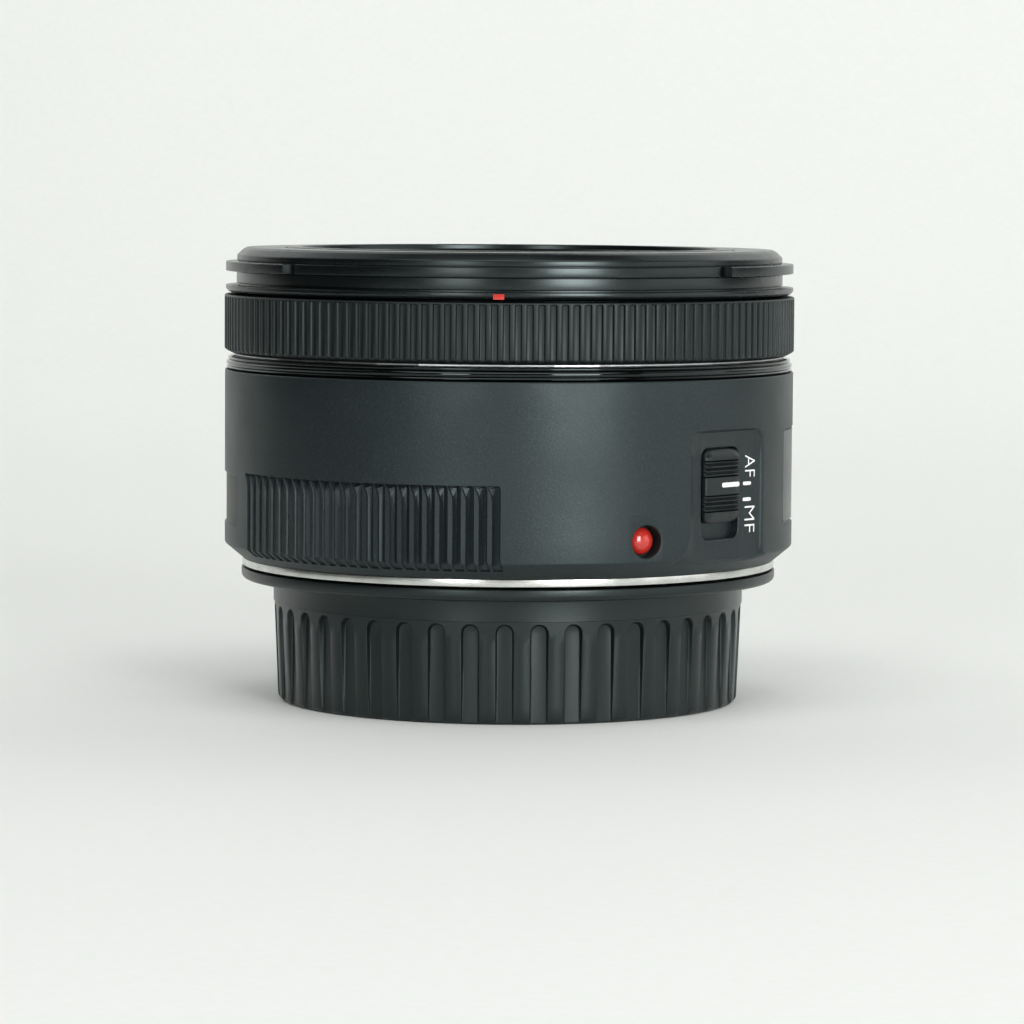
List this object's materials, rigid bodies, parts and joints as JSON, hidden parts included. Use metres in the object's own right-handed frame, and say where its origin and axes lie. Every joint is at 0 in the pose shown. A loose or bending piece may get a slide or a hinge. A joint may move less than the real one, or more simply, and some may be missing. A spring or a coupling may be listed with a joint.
{
  "type": "camera lens",
  "caption": "Compact autofocus prime lens standing on its rear cap, with a ribbed focus ring, an extending inner barrel, a bladed diaphragm and a metal bayonet mount.",
  "frame": {"origin": "centre of the rear cap's foot, on the optical axis", "axes": "+Z along the optical axis towards the subject; -Y the side that carries the red index marks"},
  "size_m": [0.0692, 0.0692, 0.055],
  "materials": {
    "cap_plastic": "moulded polypropylene, satin, slightly worn",
    "chrome_mount": "satin chrome plate on brass, turned",
    "screw_steel": "plated steel cross-head screws",
    "moulded_black": "polycarbonate with a fine spark-eroded grain",
    "plate_black": "smooth blank plates",
    "grip_black": "ribbed polycarbonate, semi-matt",
    "gloss_trim": "polished black trim",
    "contact_gold": "gold-plated contact pins",
    "index_red": "red enamel",
    "washer_steel": "spring steel washer and drawn steel motor can",
    "board_green": "solder-masked board",
    "acetal_white": "natural acetal, low friction",
    "pin_brass": "turned brass",
    "optical_glass": "coated optical glass",
    "blade_black": "blackened spring steel"
  },
  "bodies": {
    "cap": {"rear_cap": "cap_plastic"},
    "lens": {"mount_ring": "chrome_mount", "mount_screw_1": "screw_steel", "mount_screw_2": "screw_steel", "mount_screw_3": "screw_steel", "mount_screw_4": "screw_steel", "rear_baffle": "moulded_black", "contact_block": "moulded_black", "contact_pin_1": "contact_gold", "contact_pin_2": "contact_gold", "contact_pin_3": "contact_gold", "contact_pin_4": "contact_gold", "contact_pin_5": "contact_gold", "contact_pin_6": "contact_gold", "contact_pin_7": "contact_gold", "outer_barrel": "moulded_black", "mount_index_dot": "index_red", "badge_plate": "plate_black", "name_plate": "plate_black", "trim_ring": "gloss_trim", "friction_washer": "washer_steel", "switch_board": "board_green", "front_ring": "moulded_black", "hood_index_mark": "index_red", "guide_tube": "moulded_black", "focus_motor": "washer_steel", "gear_bracket": "moulded_black", "circuit_board": "board_green"},
    "focus_grip": {"focus_ring": "grip_black", "encoder_ring": "acetal_white"},
    "cam": {"cam_ring": "acetal_white"},
    "idler": {"idler_gear": "acetal_white"},
    "pinion": {"motor_pinion": "acetal_white"},
    "inner": {"inner_barrel": "moulded_black", "follower_pin_1": "pin_brass", "follower_pin_2": "pin_brass", "follower_pin_3": "pin_brass", "filter_thread_ring": "moulded_black", "front_bezel": "moulded_black", "front_retainer": "moulded_black", "lens_element_1": "optical_glass", "lens_element_2": "optical_glass", "lens_element_3": "optical_glass", "lens_element_4": "optical_glass", "lens_element_5": "optical_glass", "lens_element_6": "optical_glass", "rear_lens_cell": "moulded_black", "rear_retainer": "moulded_black", "aperture_housing": "moulded_black"},
    "iris_drive": {"aperture_drive_ring": "acetal_white"},
    "mode_slider": {"focus_mode_switch": "moulded_black"},
    "blade_1": {"aperture_blade_1": "blade_black"},
    "blade_2": {"aperture_blade_2": "blade_black"},
    "blade_3": {"aperture_blade_3": "blade_black"},
    "blade_4": {"aperture_blade_4": "blade_black"},
    "blade_5": {"aperture_blade_5": "blade_black"},
    "blade_6": {"aperture_blade_6": "blade_black"},
    "blade_7": {"aperture_blade_7": "blade_black"}
  },
  "joints": [
    {"name": "lens_lift", "type": "slide", "parent": "cap", "child": "lens", "axis": [0, 0, 1], "range_m": [0, 0.03]},
    {"name": "focus_ring_turn", "type": "hinge", "parent": "lens", "child": "focus_grip", "pos_m": [0, 0, 0.0457], "axis": [0, 0, 1], "continuous": true},
    {"name": "cam_ring_turn", "type": "hinge", "parent": "lens", "child": "cam", "pos_m": [0, 0, 0.0348], "axis": [0, 0, 1], "range_deg": [0, 60]},
    {"name": "inner_barrel_slide", "type": "slide", "parent": "lens", "child": "inner", "axis": [0, 0, 1], "range_m": [0, 0.0105]},
    {"name": "idler_spin", "type": "hinge", "parent": "lens", "child": "idler", "pos_m": [0.01527, 0.01819, 0.0229], "axis": [0, 0, 1], "range_deg": [0, 345]},
    {"name": "pinion_spin", "type": "hinge", "parent": "lens", "child": "pinion", "pos_m": [0.00845, 0.01977, 0.0229], "axis": [0, 0, 1], "range_deg": [-862.5, 0]},
    {"name": "af_mf_switch", "type": "slide", "parent": "lens", "child": "mode_slider", "axis": [0, 0, 1], "range_m": [-0.0019, 0]},
    {"name": "aperture_ring_turn", "type": "hinge", "parent": "inner", "child": "iris_drive", "pos_m": [0, 0, 0.03335], "axis": [0, 0, 1], "range_deg": [0, 20]},
    {"name": "blade_1_turn", "type": "hinge", "parent": "inner", "child": "blade_1", "pos_m": [0, -0.0156, 0.0324], "axis": [0, 0, 1], "range_deg": [0, 30]},
    {"name": "blade_2_turn", "type": "hinge", "parent": "inner", "child": "blade_2", "pos_m": [0.0122, -0.00973, 0.0324], "axis": [0, 0, 1], "range_deg": [0, 30]},
    {"name": "blade_3_turn", "type": "hinge", "parent": "inner", "child": "blade_3", "pos_m": [0.01521, 0.00347, 0.0324], "axis": [0, 0, 1], "range_deg": [0, 30]},
    {"name": "blade_4_turn", "type": "hinge", "parent": "inner", "child": "blade_4", "pos_m": [0.00677, 0.01406, 0.0324], "axis": [0, 0, 1], "range_deg": [0, 30]},
    {"name": "blade_5_turn", "type": "hinge", "parent": "inner", "child": "blade_5", "pos_m": [-0.00677, 0.01406, 0.0324], "axis": [0, 0, 1], "range_deg": [0, 30]},
    {"name": "blade_6_turn", "type": "hinge", "parent": "inner", "child": "blade_6", "pos_m": [-0.01521, 0.00347, 0.0324], "axis": [0, 0, 1], "range_deg": [0, 30]},
    {"name": "blade_7_turn", "type": "hinge", "parent": "inner", "child": "blade_7", "pos_m": [-0.0122, -0.00973, 0.0324], "axis": [0, 0, 1], "range_deg": [0, 30]}
  ],
  "couplings": [
    {"joint": "inner_barrel_slide", "follows": "cam_ring_turn", "m_per_rad": 0.010027},
    {"joint": "idler_spin", "follows": "cam_ring_turn", "ratio": 5.75},
    {"joint": "pinion_spin", "follows": "cam_ring_turn", "ratio": -14.375},
    {"joint": "blade_1_turn", "follows": "aperture_ring_turn", "ratio": 1.5},
    {"joint": "blade_2_turn", "follows": "aperture_ring_turn", "ratio": 1.5},
    {"joint": "blade_3_turn", "follows": "aperture_ring_turn", "ratio": 1.5},
    {"joint": "blade_4_turn", "follows": "aperture_ring_turn", "ratio": 1.5},
    {"joint": "blade_5_turn", "follows": "aperture_ring_turn", "ratio": 1.5},
    {"joint": "blade_6_turn", "follows": "aperture_ring_turn", "ratio": 1.5},
    {"joint": "blade_7_turn", "follows": "aperture_ring_turn", "ratio": 1.5}
  ]
}
